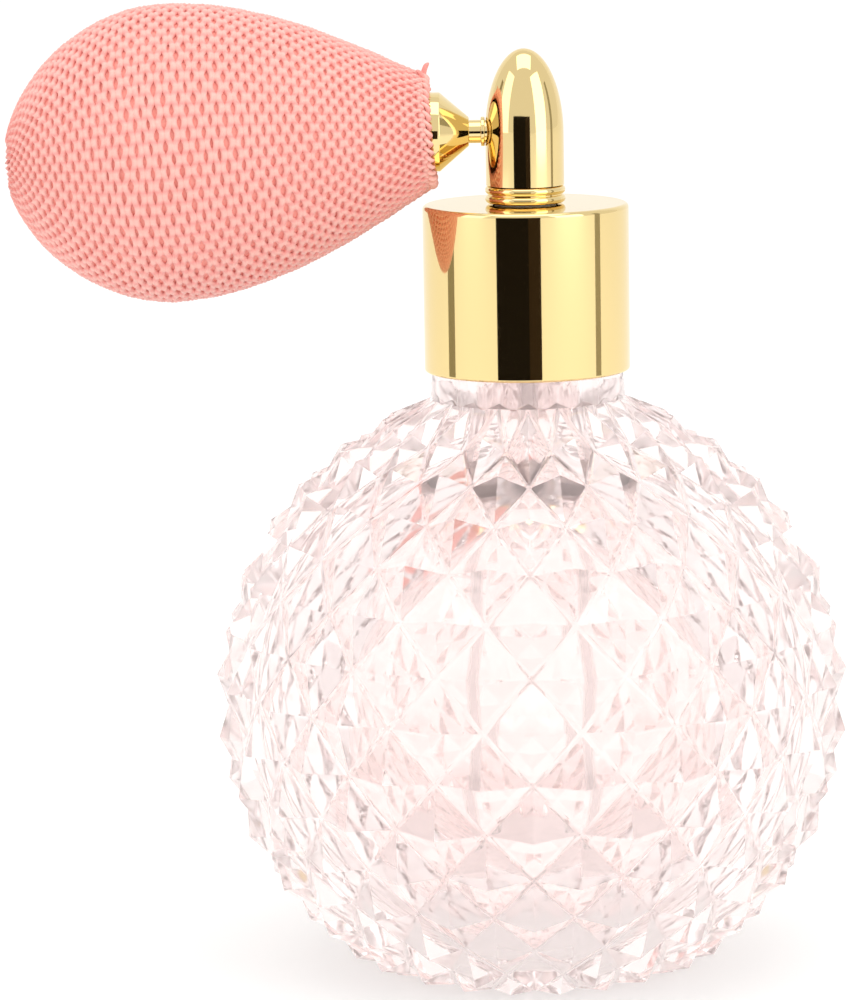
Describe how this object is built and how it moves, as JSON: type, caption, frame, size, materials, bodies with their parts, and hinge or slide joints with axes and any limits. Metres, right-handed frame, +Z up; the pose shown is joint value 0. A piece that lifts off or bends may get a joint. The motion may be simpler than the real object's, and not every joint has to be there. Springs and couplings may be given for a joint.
{
  "type": "perfume atomiser",
  "caption": "Round cut-glass perfume bottle with a screw collar, a spray dome and a knit-covered squeeze bulb on a side stem.",
  "frame": {"origin": "centre of the bottle's flat base, on the bottle's axis", "axes": "+Z up the bottle's axis, -X towards the bulb, +X the way the spray leaves"},
  "size_m": [0.1045, 0.0798, 0.1222],
  "materials": {
    "bottle_glass": "clear, faintly pink, cut and polished",
    "polished_gold": "mirror-polished pale gold plating",
    "turned_brass": "as turned",
    "steel_ball": "ground ball",
    "white_plastic": "moulded, satin",
    "clear_plastic": "clear extruded tube",
    "seal_rubber": "matt",
    "bulb_rubber": "matt moulded",
    "pink_yarn": "twisted yarn, crocheted"
  },
  "bodies": {
    "bottle": {"glass_bottle": "bottle_glass"},
    "head": {"head_core": "white_plastic", "neck_gasket": "seal_rubber", "dome_base_ring": "polished_gold", "dome_shell": "polished_gold", "dome_seal_ring": "seal_rubber", "nozzle_insert": "turned_brass", "dip_tube": "clear_plastic", "liquid_tip": "turned_brass", "air_stem": "polished_gold", "stem_washer": "polished_gold"},
    "collar": {"collar_shell": "polished_gold", "collar_liner": "white_plastic"},
    "funnel": {"funnel": "polished_gold", "bulb_barb": "turned_brass", "outlet_valve_seat": "turned_brass", "outlet_valve_stop": "turned_brass", "neck_clamp": "turned_brass"},
    "outlet_ball": {"outlet_valve_ball": "steel_ball"},
    "bulb": {"rubber_bulb": "bulb_rubber", "knit_cover": "pink_yarn", "cover_drawstring": "pink_yarn"},
    "bulb_tail": {"intake_valve_body": "turned_brass", "intake_valve_stop": "turned_brass"},
    "intake_ball": {"intake_valve_ball": "steel_ball"}
  },
  "joints": [
    {"name": "head_lift", "type": "slide", "parent": "bottle", "child": "head", "axis": [0, 0, 1], "range_m": [0, 0.1]},
    {"name": "collar_turn", "type": "hinge", "parent": "head", "child": "collar", "pos_m": [0, 0, 0.0862], "axis": [0, 0, 1], "continuous": true},
    {"name": "funnel_turn", "type": "hinge", "parent": "head", "child": "funnel", "pos_m": [-0.0069, 0, 0.10569], "axis": [-1, 0, 0], "continuous": true},
    {"name": "outlet_ball_lift", "type": "slide", "parent": "funnel", "child": "outlet_ball", "axis": [1, 0, 0], "range_m": [0, 0.0005]},
    {"name": "bulb_flex", "type": "hinge", "parent": "funnel", "child": "bulb", "pos_m": [-0.01345, 0, 0.10569], "axis": [0, 1, 0], "range_deg": [-12, 12], "stiffness_Nm_per_rad": 0.35, "deforming": ["rubber_bulb"]},
    {"name": "bulb_squeeze", "type": "slide", "parent": "bulb", "child": "bulb_tail", "axis": [0.9976, 0, 0.0698], "range_m": [0, 0.012], "stiffness_N_per_m": 700, "deforming": ["rubber_bulb", "knit_cover"]},
    {"name": "intake_ball_lift", "type": "slide", "parent": "bulb_tail", "child": "intake_ball", "axis": [0.9976, 0, 0.0698], "range_m": [0, 0.0005]}
  ]
}
